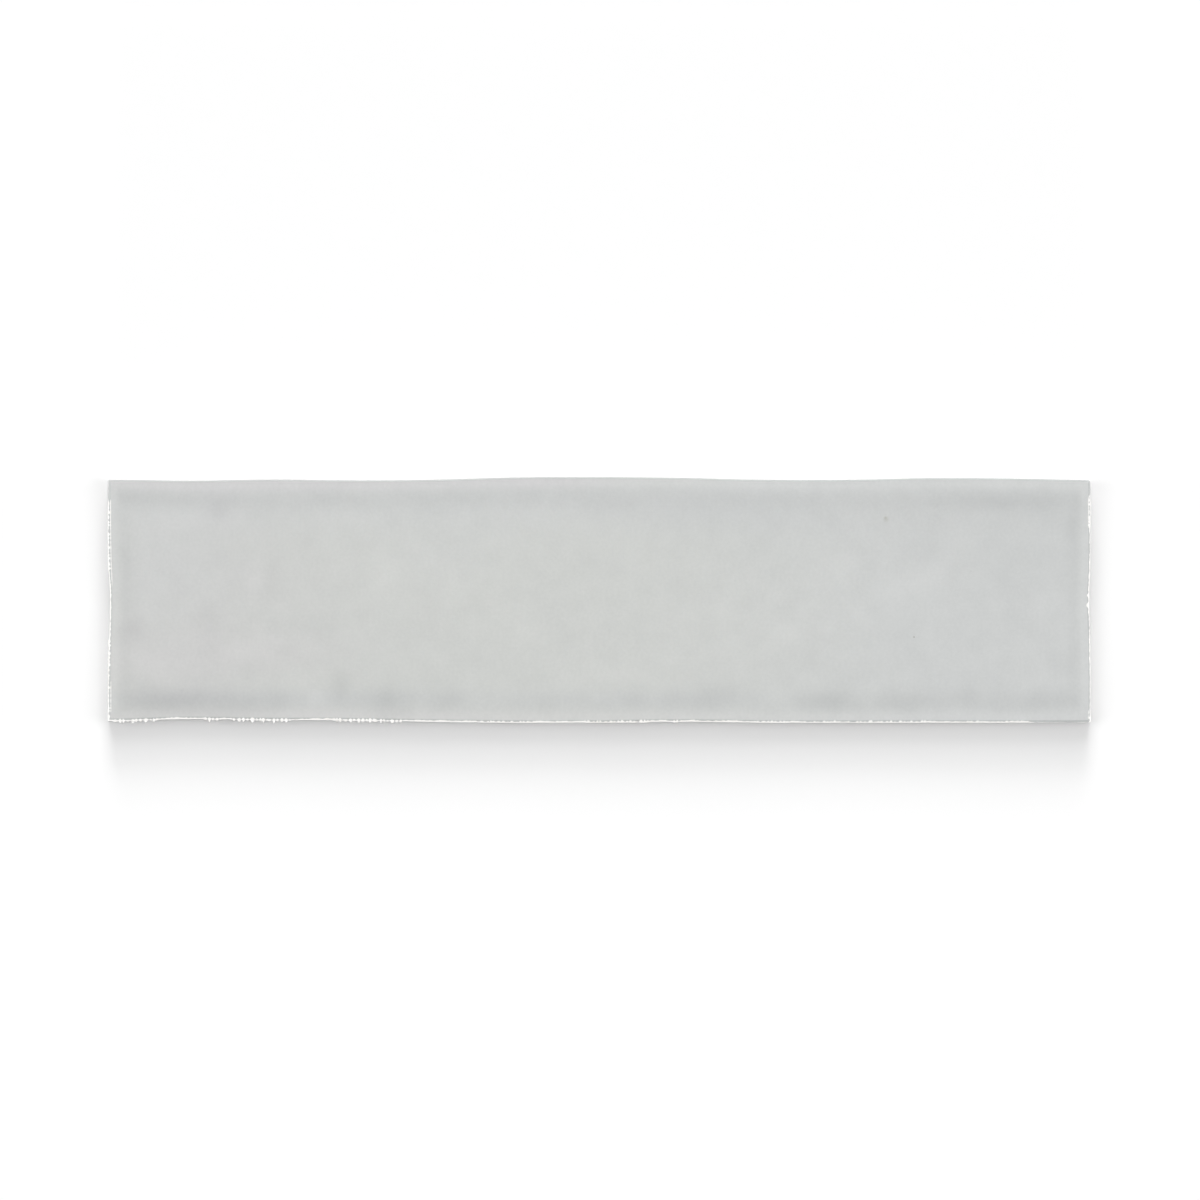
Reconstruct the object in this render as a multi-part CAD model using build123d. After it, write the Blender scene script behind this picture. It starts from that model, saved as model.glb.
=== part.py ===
"""Glazed ceramic wall tile in the long brick format, pressed in one piece with a hand-made look.

The tile lies on its keyed back. The glazed face looks along +Z, the length runs along X and the
width along Y. The origin is on the back, under the middle of the tile. Sizes are in millimetres.
"""

import os
from math import ceil, cos, pi, radians, sin

from build123d import *

# Overall size: over the widest points of the foot, and up to the mean height of the face
LENGTH = 300.0
WIDTH = 75.0
THICKNESS = 8.0

# Sides, corners and the arris, which is the rounded edge where the face turns down
SIDE_LEAN = 0.5
ARRIS_RADIUS = 0.6
FOOT_CHAMFER = 0.4
CORNER_RADIUS_NEAR_LEFT = 0.8
CORNER_RADIUS_NEAR_RIGHT = 0.9
CORNER_RADIUS_FAR_LEFT = 0.8
CORNER_RADIUS_FAR_RIGHT = 1.3

# Wander of each edge: how far it lies inside the overall size, at even stations along it.
# The long edges run from left to right, and the short ones from near to far.
NEAR_WANDER = (0.6, 1.2, 0.9, 0.8, 0.3, 0.0, 0.05, 0.35, 0.0, 0.0, 0.05, 0.0, 0.05)
FAR_WANDER = (0.75, 1.1, 0.75, 1.0, 0.8, 0.1, 0.0, 0.25, 0.8, 0.85, 0.35, 0.45, 0.9)
LEFT_WANDER = (0.1, 0.1, 0.35, 0.6, 0.15, 0.0, 0.05)
RIGHT_WANDER = (0.1, 0.0, 0.1, 0.4, 0.05, 0.1, 0.05)

# Face: it falls away near the edges like a pillow, and its field has three slow waves.
# Each wave is its height, its length and its heading, in degrees from the X axis.
PILLOW_DROP = 0.35
PILLOW_WIDTH = 10.0
FACE_WAVES = ((0.07, 96.0, 12.0), (0.05, 58.0, 118.0), (0.04, 37.0, 64.0))
FACE_STATION = 5.0

# Keyed back: shallow square pockets with cut corners between ribs, inside a plain border
KEY_BORDER = 8.0
KEY_POCKET = 12.0
KEY_RIB = 3.0
KEY_DEPTH = 0.7
KEY_TAPER = 35.0
KEY_CORNER_CUT = 1.5


def along(wander: tuple, start: float, end: float) -> list:
    """Pairs of a place along an edge and the edge's wander there, at even stations."""
    step = (end - start) / (len(wander) - 1)
    return [(start + i * step, inside) for i, inside in enumerate(wander)]


def outline(inset: float, height: float) -> Face:
    """The tile's plan at a height, with its four wandering edges drawn in by an inset."""
    half_length = LENGTH / 2 - inset
    half_width = WIDTH / 2 - inset
    near_left = (LEFT_WANDER[0] - half_length, NEAR_WANDER[0] - half_width)
    near_right = (half_length - RIGHT_WANDER[0], NEAR_WANDER[-1] - half_width)
    far_left = (LEFT_WANDER[-1] - half_length, half_width - FAR_WANDER[0])
    far_right = (half_length - RIGHT_WANDER[-1], half_width - FAR_WANDER[-1])
    near = [(x, inside - half_width) for x, inside in along(NEAR_WANDER, near_left[0], near_right[0])]
    far = [(x, half_width - inside) for x, inside in along(FAR_WANDER, far_left[0], far_right[0])]
    left = [(inside - half_length, y) for y, inside in along(LEFT_WANDER, near_left[1], far_left[1])]
    right = [(half_length - inside, y) for y, inside in along(RIGHT_WANDER, near_right[1], far_right[1])]
    edges = [Spline(*points) for points in (near, right, far[::-1], left[::-1])]
    return Pos(0, 0, height) * make_face(edges).face()


def pillow_fall(from_edge: float) -> float:
    """How far the face has fallen, from nothing at the pillow's inner line to all of it at the edge."""
    share = max(0.0, 1 - from_edge / PILLOW_WIDTH)
    return PILLOW_DROP * share**2


def face_height(x: float, y: float) -> float:
    """Height of the glazed face above the back."""
    height = THICKNESS
    for crest, length, heading in FACE_WAVES:
        travel = x * cos(radians(heading)) + y * sin(radians(heading))
        height += crest * sin(2 * pi * travel / length)
    return height - pillow_fall(LENGTH / 2 - abs(x)) - pillow_fall(WIDTH / 2 - abs(y))


def stations(size: float) -> list:
    """Even places across a size and one station past each of its ends."""
    spans = ceil(size / FACE_STATION)
    step = size / spans
    return [-size / 2 + (i - 1) * step for i in range(spans + 3)]


def face_plug() -> Part:
    """The space above the glazed face, which the press leaves empty."""
    points = [[(x, y, face_height(x, y)) for y in stations(WIDTH)] for x in stations(LENGTH)]
    surface = Face.make_surface_from_array_of_points(points, tol=0.002, min_deg=3, max_deg=5)
    return extrude(surface, amount=2 * THICKNESS, dir=(0, 0, 1))


def pressed_body() -> Part:
    """The plain tile: leaning sides, rounded corners, the wavy face and its arris."""
    # The blank is twice as thick as the tile, so that the face is cut from inside it
    blank = loft([outline(0, 0), outline(2 * SIDE_LEAN, 2 * THICKNESS)], ruled=True)
    corner_radii = {
        (-1, -1): CORNER_RADIUS_NEAR_LEFT,
        (1, -1): CORNER_RADIUS_NEAR_RIGHT,
        (-1, 1): CORNER_RADIUS_FAR_LEFT,
        (1, 1): CORNER_RADIUS_FAR_RIGHT,
    }
    for (side_x, side_y), radius in corner_radii.items():
        corner = Vertex(side_x * LENGTH / 2, side_y * WIDTH / 2, THICKNESS / 2)
        upright = blank.edges().sort_by_distance(corner)[0]
        blank = fillet(upright, radius)
    body = blank - face_plug()
    arris = body.faces().sort_by(Axis.Z)[-1].edges()
    body = fillet(arris, ARRIS_RADIUS)
    foot = body.faces().sort_by(Axis.Z)[0].edges()
    return chamfer(foot, FOOT_CHAMFER)


def key_count(size: float) -> int:
    """How many pockets fit across a size of the back."""
    return int((size - 2 * KEY_BORDER + KEY_RIB) // (KEY_POCKET + KEY_RIB))


def key_pockets() -> list:
    """The pockets of the keyed back, in a grid on its middle."""
    pitch = KEY_POCKET + KEY_RIB
    square = Rectangle(KEY_POCKET, KEY_POCKET)
    mouth = chamfer(square.vertices(), KEY_CORNER_CUT)
    pocket = extrude(mouth, amount=KEY_DEPTH, taper=KEY_TAPER)
    grid = GridLocations(pitch, pitch, key_count(LENGTH), key_count(WIDTH))
    return [place * pocket for place in grid]


def tile() -> Part:
    """The whole tile."""
    return pressed_body() - key_pockets()


if __name__ == "__main__":
    os.makedirs("parts", exist_ok=True)
    export_step(tile(), "parts/tile.step")
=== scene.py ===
"""Looks of a glazed ceramic wall tile: its pressed mesh, its glaze and bare body, and a plain studio.

The frame is that of the CAD model, in metres: the tile lies on its keyed back, +X runs along its
length, +Y points to its far edge and +Z comes up out of the glazed face. Values whose notes say
millimetres are turned into metres where they are used.
"""

import logging
from dataclasses import dataclass
from enum import Enum
from math import atan, cos, pi, radians, sin, sqrt, tan
from typing import ClassVar

import bpy
import numpy as np
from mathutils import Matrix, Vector

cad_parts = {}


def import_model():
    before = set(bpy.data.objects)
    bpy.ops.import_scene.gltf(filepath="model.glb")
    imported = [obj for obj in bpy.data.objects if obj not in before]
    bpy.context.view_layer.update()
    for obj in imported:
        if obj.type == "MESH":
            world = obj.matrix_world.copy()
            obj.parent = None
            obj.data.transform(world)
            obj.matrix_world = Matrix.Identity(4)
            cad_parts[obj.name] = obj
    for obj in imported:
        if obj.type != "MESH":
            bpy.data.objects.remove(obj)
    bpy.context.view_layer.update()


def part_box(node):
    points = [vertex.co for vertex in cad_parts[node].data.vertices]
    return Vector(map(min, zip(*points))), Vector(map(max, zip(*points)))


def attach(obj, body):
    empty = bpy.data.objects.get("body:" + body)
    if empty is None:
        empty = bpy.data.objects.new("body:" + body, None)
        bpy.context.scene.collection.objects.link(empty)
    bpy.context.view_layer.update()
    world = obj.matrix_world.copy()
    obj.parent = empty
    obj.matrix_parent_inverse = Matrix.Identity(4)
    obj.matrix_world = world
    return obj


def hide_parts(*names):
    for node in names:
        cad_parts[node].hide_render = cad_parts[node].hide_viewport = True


MM = 0.001
# A length too small to see
HAIR = 0.01 * MM
# The mean of a noise texture
NOISE_MIDDLE = 0.5
NODE = "tile"
BODY = "root"
LOG = logging.getLogger("wall_tile")
Colour = tuple[float, float, float]


class Edge(Enum):
    """The four edges of the tile, as they lie in front of the camera."""

    NEAR = "near"
    FAR = "far"
    LEFT = "left"
    RIGHT = "right"

    @property
    def is_long(self) -> bool:
        """Whether the edge runs along the tile's length."""
        return self in (Edge.NEAR, Edge.FAR)


ByEdge = dict[Edge, float]


def rise(amount: np.ndarray, start: float, end: float) -> np.ndarray:
    """A smooth rise from 0 where an amount is at start to 1 where it is at end."""
    share = np.clip((amount - start) / (end - start), 0, 1)
    return share**2 * (3 - 2 * share)


@dataclass(frozen=True)
class Wander:
    """How far an edge lies inside the overall size, in millimetres, at even stations along it."""

    insides: tuple[float, ...]

    def at(self, share: np.ndarray) -> np.ndarray:
        """Reads the smooth curve through the stations.

        Args:
            share: Places along the edge, from 0 at its first station to 1 at its last.

        Returns:
            How far the edge lies inside the overall size at those places, in metres.
        """
        spans = len(self.insides) - 1
        stations = np.pad(np.array(self.insides), 1, mode="edge")
        place = np.clip(share, 0, 1) * spans
        span = np.minimum(place.astype(int), spans - 1)
        t = place - span
        before, start, end, after = (stations[span + i] for i in range(4))
        bend = 2 * before - 5 * start + 4 * end - after
        twist = 3 * (start - end) + after - before
        return MM * (start + 0.5 * (t * (end - before) + t**2 * bend + t**3 * twist))


@dataclass(frozen=True)
class Wave:
    """A slow wave of the glazed face: its height and length in millimetres, its heading in degrees."""

    height: float
    length: float
    heading: float

    def at(self, x: np.ndarray, y: np.ndarray) -> np.ndarray:
        """Height of the wave at places on the face, all in metres."""
        travel = x * cos(radians(self.heading)) + y * sin(radians(self.heading))
        return MM * self.height * np.sin(2 * pi * travel / (MM * self.length))


@dataclass(frozen=True)
class Patch:
    """A soft oval spot on the tile. Lengths are millimetres, and its turn is in degrees."""

    x: float
    y: float
    half_length: float
    half_breadth: float
    amount: float
    turn: float = 0.0

    def at(self, x: np.ndarray, y: np.ndarray) -> np.ndarray:
        """What the patch adds at places on the tile.

        Args:
            x: Places along the tile's length, in millimetres.
            y: Places across it, in millimetres.

        Returns:
            The patch's amount at those places: all of it at its middle, and less further out.
        """
        cosine, sine = cos(radians(self.turn)), sin(radians(self.turn))
        along = ((x - self.x) * cosine + (y - self.y) * sine) / self.half_length
        across = ((y - self.y) * cosine - (x - self.x) * sine) / self.half_breadth
        return self.amount * np.exp(-(along**2) - across**2)


def tone(flat: np.ndarray, patches: tuple[Patch, ...]) -> np.ndarray:
    """The sum of soft patches at each point of the flat tile, one row each, in metres."""
    x, y, _ = flat.T / MM
    return sum(patch.at(x, y) for patch in patches)


@dataclass(frozen=True)
class Band:
    """A band along an edge where the glaze pooled. Lengths are millimetres, inside the edge."""

    middle: float
    half_width: float
    depth: float

    def at(self, inside: np.ndarray) -> np.ndarray:
        """The band's share of the glaze's depth at places that lie that far inside the edge."""
        return self.depth * np.exp(-(((inside - self.middle) / self.half_width) ** 2))


@dataclass(frozen=True)
class Span:
    """A stretch of an edge where a trait of the rim has some strength. Lengths are millimetres.

    The trait comes in and goes out over twice the blend, about the start and the end.
    """

    edge: Edge
    start: float
    end: float
    strength: float = 1.0
    blend: float = 1.0


@dataclass(frozen=True)
class Swing:
    """A slow swing along an edge: its amount, its length in millimetres and its phase in radians."""

    amount: float
    length: float
    phase: float

    def at(self, place: np.ndarray) -> np.ndarray:
        """The swing at places along the edge, in millimetres."""
        return self.amount * np.sin(2 * pi * place / self.length + self.phase)


@dataclass(frozen=True)
class Fringe:
    """The crumbs of bare body that hang on stretches of the edges. Lengths are millimetres."""

    # Their spacing and its swing, and how full each one is
    pitch: float = 1.3
    pitch_swings: tuple[Swing, ...] = (Swing(0.18, 4.7, 0.0), Swing(0.15, 7.9, 1.0))
    size: float = 0.75
    size_swing: Swing = Swing(0.25, 3.3, 2.0)
    sharpness: float = 0.9
    # How far a full crumb juts out, and how high above the back it sits
    jut: float = 1.0
    middle_height: float = 6.4
    half_height: float = 0.9
    # How far the side is drawn in below the crumbs
    recess: float = 0.10
    recess_start: float = 5.6
    recess_end: float = 6.9
    # How much further the glaze runs down between two crumbs, and what a full crumb takes from that
    gap_reach: float = 0.60
    crumb_loss: float = 1.05
    spans: tuple[Span, ...] = (
        Span(Edge.NEAR, -148.0, -135.0),
        Span(Edge.NEAR, -120.5, -115.5),
        Span(Edge.NEAR, -112.0, -94.0),
        Span(Edge.NEAR, -81.0, -60.0, 0.9),
        Span(Edge.NEAR, -36.0, -20.0, 0.6),
        Span(Edge.NEAR, -4.0, 15.0),
        Span(Edge.NEAR, 22.0, 25.0, 0.8),
        Span(Edge.NEAR, 48.0, 57.0, 0.7),
        Span(Edge.NEAR, 62.0, 73.0, 0.6),
        Span(Edge.NEAR, 76.0, 100.0, 0.9),
        Span(Edge.NEAR, 100.0, 125.0, 0.3),
        Span(Edge.LEFT, 8.3, 28.3, 0.8),
        Span(Edge.LEFT, -37.5, -11.7, 0.7),
        Span(Edge.RIGHT, 22.0, 30.0, 0.4),
        Span(Edge.RIGHT, -37.5, -34.0, 0.5),
    )

    def fullness(self, along: np.ndarray) -> np.ndarray:
        """How full the crumbs are at places along an edge: up to 1 on a crumb and 0 between two.

        Args:
            along: Places along the edge, in metres.

        Returns:
            The fullness at those places.
        """
        place = along / MM
        swing = sum(each.at(place) for each in self.pitch_swings)
        size = self.size + self.size_swing.at(place)
        return size * np.abs(np.sin(pi * (place / self.pitch + swing))) ** self.sharpness

    def stand_out(self, along: np.ndarray, height: np.ndarray) -> np.ndarray:
        """How far a side with crumbs stands out.

        Args:
            along: Places along the edge, in metres.
            height: How high they lie, in metres.

        Returns:
            How far they move out of the plain side, in metres.
        """
        level = height / MM
        bulge = np.exp(-(((level - self.middle_height) / self.half_height) ** 2))
        under = 1 - rise(level, self.recess_start, self.recess_end)
        return MM * (self.jut * self.fullness(along) * bulge - self.recess * under)

    def glaze_gap(self, along: np.ndarray) -> np.ndarray:
        """How much further down the glaze runs, in millimetres, at places along an edge in metres."""
        return self.gap_reach - self.crumb_loss * self.fullness(along)


@dataclass(frozen=True)
class Speck:
    """A mark in the glaze. Lengths are millimetres, and strength is the share of its own colour."""

    x: float
    y: float
    radius: float
    strength: float
    colour: Colour


class Bench:
    """The selecting and mode changes that the modelling operators need."""

    @staticmethod
    def start(make: str, **settings: object) -> bpy.types.Object:
        """Adds a primitive with nothing else selected.

        Args:
            make: The primitive's operator.
            settings: The operator's settings.

        Returns:
            The new object.
        """
        bpy.ops.object.select_all(action="DESELECT")
        getattr(bpy.ops.mesh, make)(**settings)
        return bpy.context.object

    @staticmethod
    def edit() -> None:
        """Goes into edit mode on the active object."""
        bpy.ops.object.mode_set(mode="EDIT")

    @staticmethod
    def leave() -> None:
        """Goes back to object mode."""
        bpy.ops.object.mode_set(mode="OBJECT")

    @staticmethod
    def points(piece: bpy.types.Object) -> np.ndarray:
        """Reads a mesh's points.

        Args:
            piece: The object that has the mesh.

        Returns:
            The points, one row each, in metres.
        """
        flat = np.empty(3 * len(piece.data.vertices), np.float32)
        piece.data.vertices.foreach_get("co", flat)
        return flat.reshape(-1, 3).astype(float)

    @staticmethod
    def put(piece: bpy.types.Object, points: np.ndarray) -> None:
        """Moves a mesh's points to new places, one row each, in metres."""
        piece.data.vertices.foreach_set("co", points.astype(np.float32).ravel())
        piece.data.update()

    @staticmethod
    def pick(piece: bpy.types.Object, chosen: np.ndarray) -> None:
        """Selects points of the active object and goes into edit mode on them.

        Args:
            piece: The active object, in object mode.
            chosen: True for each point to select.
        """
        Bench.edit()
        bpy.ops.mesh.select_all(action="DESELECT")
        Bench.leave()
        piece.data.vertices.foreach_set("select", chosen)
        Bench.edit()

    @staticmethod
    def pick_open_edges() -> None:
        """Selects the open edges of the mesh in edit mode."""
        bpy.ops.mesh.select_all(action="DESELECT")
        bpy.ops.mesh.select_non_manifold(
            extend=False,
            use_wire=True,
            use_boundary=True,
            use_multi_face=False,
            use_non_contiguous=False,
            use_verts=False,
        )

    @staticmethod
    def note(piece: bpy.types.Object, name: str, values: np.ndarray) -> None:
        """Keeps a value for each point of a mesh, for its material to read."""
        attribute = piece.data.attributes.new(name, "FLOAT", "POINT")
        attribute.data.foreach_set("value", values.astype(np.float32))

    @staticmethod
    def apply(piece: bpy.types.Object, kind: str, **settings: object) -> None:
        """Adds a modifier to the active object and applies it.

        Args:
            piece: The active object.
            kind: The modifier's type.
            settings: The modifier's settings.
        """
        modifier = piece.modifiers.new(kind.lower(), kind)
        for name, setting in settings.items():
            setattr(modifier, name, setting)
        bpy.ops.object.modifier_apply(modifier=modifier.name)


class LumpPattern(Enum):
    """The textures that small lumps are made with."""

    CLOUDS = "CLOUDS"
    CELLS = "VORONOI"


@dataclass(frozen=True)
class Lumps:
    """Small lumps that move part of a surface in and out. Lengths are metres."""

    part: str
    pattern: LumpPattern
    size: float
    strength: float
    middle: float
    least_weight: float = 0.01

    def raise_on(self, piece: bpy.types.Object, weights: np.ndarray) -> None:
        """Moves the surface of the active object.

        Args:
            piece: The active object.
            weights: Share of the lumps' height at each point.
        """
        group = piece.vertex_groups.new(name=self.part)
        for index in np.flatnonzero(weights > self.least_weight):
            group.add([int(index)], float(weights[index]), "REPLACE")
        texture = bpy.data.textures.new(self.part, self.pattern.value)
        texture.noise_scale = self.size
        Bench.apply(
            piece,
            "DISPLACE",
            texture=texture,
            vertex_group=self.part,
            strength=self.strength,
            mid_level=self.middle,
        )


class Wire:
    """A socket of a material, on which Python's operators add Math nodes."""

    def __init__(self, shader: "Shader", socket: bpy.types.NodeSocket) -> None:
        """Keeps the socket and the shader that it belongs to."""
        self.shader = shader
        self.socket = socket

    def math(self, operation: str, *terms: "Wire | float") -> "Wire":
        """Adds a Math node.

        Args:
            operation: The node's operation.
            terms: Its inputs, in order.

        Returns:
            The node's result.
        """
        return self.shader.wire("ShaderNodeMath", {"operation": operation}, dict(enumerate(terms)))

    def __add__(self, other: "Wire | float") -> "Wire":
        """Sum."""
        return self.math("ADD", self, other)

    def __radd__(self, other: float) -> "Wire":
        """Sum with a number in front."""
        return self.math("ADD", other, self)

    def __sub__(self, other: "Wire | float") -> "Wire":
        """Difference."""
        return self.math("SUBTRACT", self, other)

    def __rsub__(self, other: float) -> "Wire":
        """Difference from a number."""
        return self.math("SUBTRACT", other, self)

    def __mul__(self, other: "Wire | float") -> "Wire":
        """Product."""
        return self.math("MULTIPLY", self, other)

    def __rmul__(self, other: float) -> "Wire":
        """Product with a number in front."""
        return self.math("MULTIPLY", other, self)

    def __truediv__(self, other: "Wire | float") -> "Wire":
        """Quotient."""
        return self.math("DIVIDE", self, other)


class Shader:
    """A material's node tree, with one method that adds any node."""

    def __init__(self, name: str) -> None:
        """Makes a material with an empty tree."""
        self.material = bpy.data.materials.new(name)
        self.material.use_nodes = True
        self.tree = self.material.node_tree
        self.tree.nodes.clear()

    def node(
        self,
        kind: str,
        settings: dict[str, object] | None = None,
        sockets: dict[int | str, object] | None = None,
    ) -> bpy.types.Node:
        """Adds a node.

        Args:
            kind: The node's type.
            settings: Its settings, which are set first. A ramp's stops are pairs of place and colour.
            sockets: A wire or a plain value for each input that is used.

        Returns:
            The node.
        """
        made = self.tree.nodes.new(kind)
        for name, setting in (settings or {}).items():
            if name == "stops":
                self.set_stops(made.color_ramp, setting)
            else:
                setattr(made, name, setting)
        for key, source in (sockets or {}).items():
            if isinstance(source, Wire):
                self.tree.links.new(source.socket, made.inputs[key])
            else:
                made.inputs[key].default_value = source
        return made

    def wire(
        self,
        kind: str,
        settings: dict[str, object] | None = None,
        sockets: dict[int | str, object] | None = None,
        output: int | str = 0,
    ) -> Wire:
        """Adds a node and gives one of its outputs.

        Args:
            kind: The node's type.
            settings: Its settings.
            sockets: Its inputs.
            output: The output that is wanted.

        Returns:
            That output.
        """
        return Wire(self, self.node(kind, settings, sockets).outputs[output])

    @staticmethod
    def set_stops(ramp: bpy.types.ColorRamp, stops: tuple[tuple[float, Colour], ...]) -> None:
        """Gives a colour ramp its stops.

        Args:
            ramp: The colour ramp.
            stops: Pairs of place and colour, from first to last.
        """
        while len(ramp.elements) < len(stops):
            ramp.elements.new(1.0)
        for element, (place, colour) in zip(ramp.elements, stops):
            element.position = place
            element.color = (*colour, 1.0)

    def place_mm(self) -> Wire:
        """The object's own coordinates, in millimetres."""
        metres = self.wire("ShaderNodeTexCoord", output="Object")
        return self.wire("ShaderNodeVectorMath", {"operation": "SCALE"}, {0: metres, "Scale": 1 / MM})

    def noise(self, place: Wire, size: float, detail: float = 2.0) -> Wire:
        """Cloudy noise.

        Args:
            place: Coordinates in millimetres.
            size: Size of its spots, in millimetres.
            detail: How many finer layers lie on it.

        Returns:
            The noise, a number about a half.
        """
        return self.wire("ShaderNodeTexNoise", None, {"Vector": place, "Scale": 1 / size, "Detail": detail})

    def ripple(self, place: Wire, size: float, detail: float = 2.0) -> Wire:
        """Cloudy noise about zero, with the inputs that noise takes."""
        return self.noise(place, size, detail) - NOISE_MIDDLE

    def fade(self, amount: Wire, start: Wire | float, end: Wire | float) -> Wire:
        """A smooth rise from 0 to 1.

        Args:
            amount: What the rise follows.
            start: The amount where it is 0.
            end: The amount where it is 1.

        Returns:
            The rise.
        """
        settings = {"interpolation_type": "SMOOTHSTEP"}
        sockets = {"Value": amount, "From Min": start, "From Max": end}
        return self.wire("ShaderNodeMapRange", settings, sockets)

    def mix_colour(
        self, share: Wire | float, first: Wire | Colour, second: Wire | Colour, way: str = "MIX"
    ) -> Wire:
        """Mixes two colours.

        Args:
            share: Share of the second colour.
            first: The colour at share 0.
            second: The colour at share 1.
            way: The Mix node's blending.

        Returns:
            The mixed colour.
        """
        base, top = (c if isinstance(c, Wire) else (*c, 1.0) for c in (first, second))
        settings = {"data_type": "RGBA", "blend_type": way}
        return self.wire("ShaderNodeMix", settings, {0: share, 6: base, 7: top}, 2)

    def finish(self, surface: Wire) -> bpy.types.Material:
        """Puts a surface on the material's output and returns the material."""
        self.node("ShaderNodeOutputMaterial", None, {"Surface": surface})
        return self.material


@dataclass(frozen=True)
class Glaze:
    """Pale grey gloss glaze: thin and light on the rim, deeper and darker where it pooled, and darkest where
    its depth paints shade on the arris and the sides.
    """

    attribute: str = "glaze_depth_and_shade"
    deepest: float = 4.0
    # Colours at shares of the deepest depth; the darkest stops mostly serve the painted shade on the arris
    # and the sides
    stops: tuple[tuple[float, Colour], ...] = (
        (0.0, (0.686, 0.694, 0.672)),
        (0.117, (0.638, 0.649, 0.630)),
        (0.25, (0.598, 0.611, 0.593)),
        (0.65, (0.478, 0.492, 0.481)),
        (1.0, (0.343, 0.347, 0.330)),
    )
    cool_attribute: str = "glaze_cool"
    cool: Colour = (1.000, 1.000, 1.022)
    blush_attribute: str = "glaze_blush"
    blush: Colour = (1.000, 0.981, 1.000)
    cloud_size: float = 7.0
    cloud_detail: float = 3.0
    cloud_depth: float = 0.8
    grain_size: float = 0.9
    grain_depth: float = 0.8
    roughness: float = 0.09
    roughness_swing: float = 0.06
    peel_size: float = 1.6
    peel: float = 0.010 * MM
    ior: float = 1.52
    specks: tuple[Speck, ...] = (
        Speck(87.5, 24.6, 1.30, 0.28, (0.33, 0.33, 0.26)),
        Speck(87.3, 25.1, 0.70, 0.30, (0.30, 0.27, 0.20)),
        Speck(96.0, -11.3, 0.40, 0.75, (0.22, 0.21, 0.18)),
        Speck(84.7, 36.2, 0.35, 0.45, (0.40, 0.31, 0.20)),
        Speck(113.4, 8.8, 0.30, 0.25, (0.34, 0.32, 0.27)),
    )

    def colour(self, shader: Shader, place: Wire, face_height: float) -> Wire:
        """Colours the glaze by its depth, which also carries the painted shade of the arris and the sides.

        Args:
            shader: The material.
            place: Coordinates in millimetres.
            face_height: Height of the face, in millimetres.

        Returns:
            The glaze's colour.
        """
        laid = shader.wire("ShaderNodeAttribute", {"attribute_name": self.attribute}, output="Fac")
        cloud = shader.ripple(place, self.cloud_size, self.cloud_detail)
        grain = shader.ripple(place, self.grain_size)
        depth = laid + cloud * self.cloud_depth + grain * self.grain_depth
        colour = shader.wire("ShaderNodeValToRGB", {"stops": self.stops}, {"Fac": depth / self.deepest})
        for attribute, tint in ((self.cool_attribute, self.cool), (self.blush_attribute, self.blush)):
            share = shader.wire("ShaderNodeAttribute", {"attribute_name": attribute}, output="Fac")
            colour = shader.mix_colour(share, colour, tint, "MULTIPLY")
        for speck in self.specks:
            middle = (speck.x, speck.y, face_height)
            measure = {"operation": "DISTANCE"}
            away = shader.wire("ShaderNodeVectorMath", measure, {0: place, 1: middle}, "Value")
            mark = shader.fade(away, speck.radius, 0.0) * speck.strength
            colour = shader.mix_colour(mark, colour, speck.colour)
        return colour

    def surface(self, shader: Shader, place: Wire, face_height: float) -> Wire:
        """Makes the glaze's surface.

        Args:
            shader: The material.
            place: Coordinates in millimetres.
            face_height: Height of the face, in millimetres.

        Returns:
            The surface.
        """
        peel = shader.noise(place, self.peel_size)
        return shader.wire(
            "ShaderNodeBsdfPrincipled",
            None,
            {
                "Base Color": self.colour(shader, place, face_height),
                "Roughness": self.roughness + (peel - NOISE_MIDDLE) * self.roughness_swing,
                "IOR": self.ior,
                "Normal": shader.wire("ShaderNodeBump", None, {"Distance": self.peel, "Height": peel}),
            },
        )


@dataclass(frozen=True)
class BareBody:
    """Fired white body that the glaze leaves bare on the sides and the back: matt and grainy."""

    pale: Colour = (0.88, 0.87, 0.85)
    dull: Colour = (0.74, 0.72, 0.68)
    stain_size: float = 11.0
    stain_detail: float = 4.0
    stain_levels: tuple[float, float] = (0.45, 0.75)
    stain_share: float = 0.5
    speckle_levels: tuple[float, float] = (0.62, 0.80)
    speckle_share: float = 0.35
    grain_size: float = 0.45
    grain_detail: float = 3.0
    grain: float = 0.06 * MM
    roughness: float = 0.85
    specular: float = 0.1

    def colour(self, shader: Shader, place: Wire) -> Wire:
        """Colours the body.

        Args:
            shader: The material.
            place: Coordinates in millimetres.

        Returns:
            The body's colour.
        """
        stain = shader.fade(shader.noise(place, self.stain_size, self.stain_detail), *self.stain_levels)
        speckle = shader.fade(shader.noise(place, self.grain_size), *self.speckle_levels)
        share = stain * self.stain_share + speckle * self.speckle_share
        return shader.mix_colour(share, self.pale, self.dull)

    def surface(self, shader: Shader, place: Wire) -> Wire:
        """Makes the body's surface.

        Args:
            shader: The material.
            place: Coordinates in millimetres.

        Returns:
            The surface.
        """
        grain = shader.noise(place, self.grain_size, self.grain_detail)
        return shader.wire(
            "ShaderNodeBsdfPrincipled",
            None,
            {
                "Base Color": self.colour(shader, place),
                "Roughness": self.roughness,
                "Specular IOR Level": self.specular,
                "Normal": shader.wire("ShaderNodeBump", None, {"Distance": self.grain, "Height": grain}),
            },
        )


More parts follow.
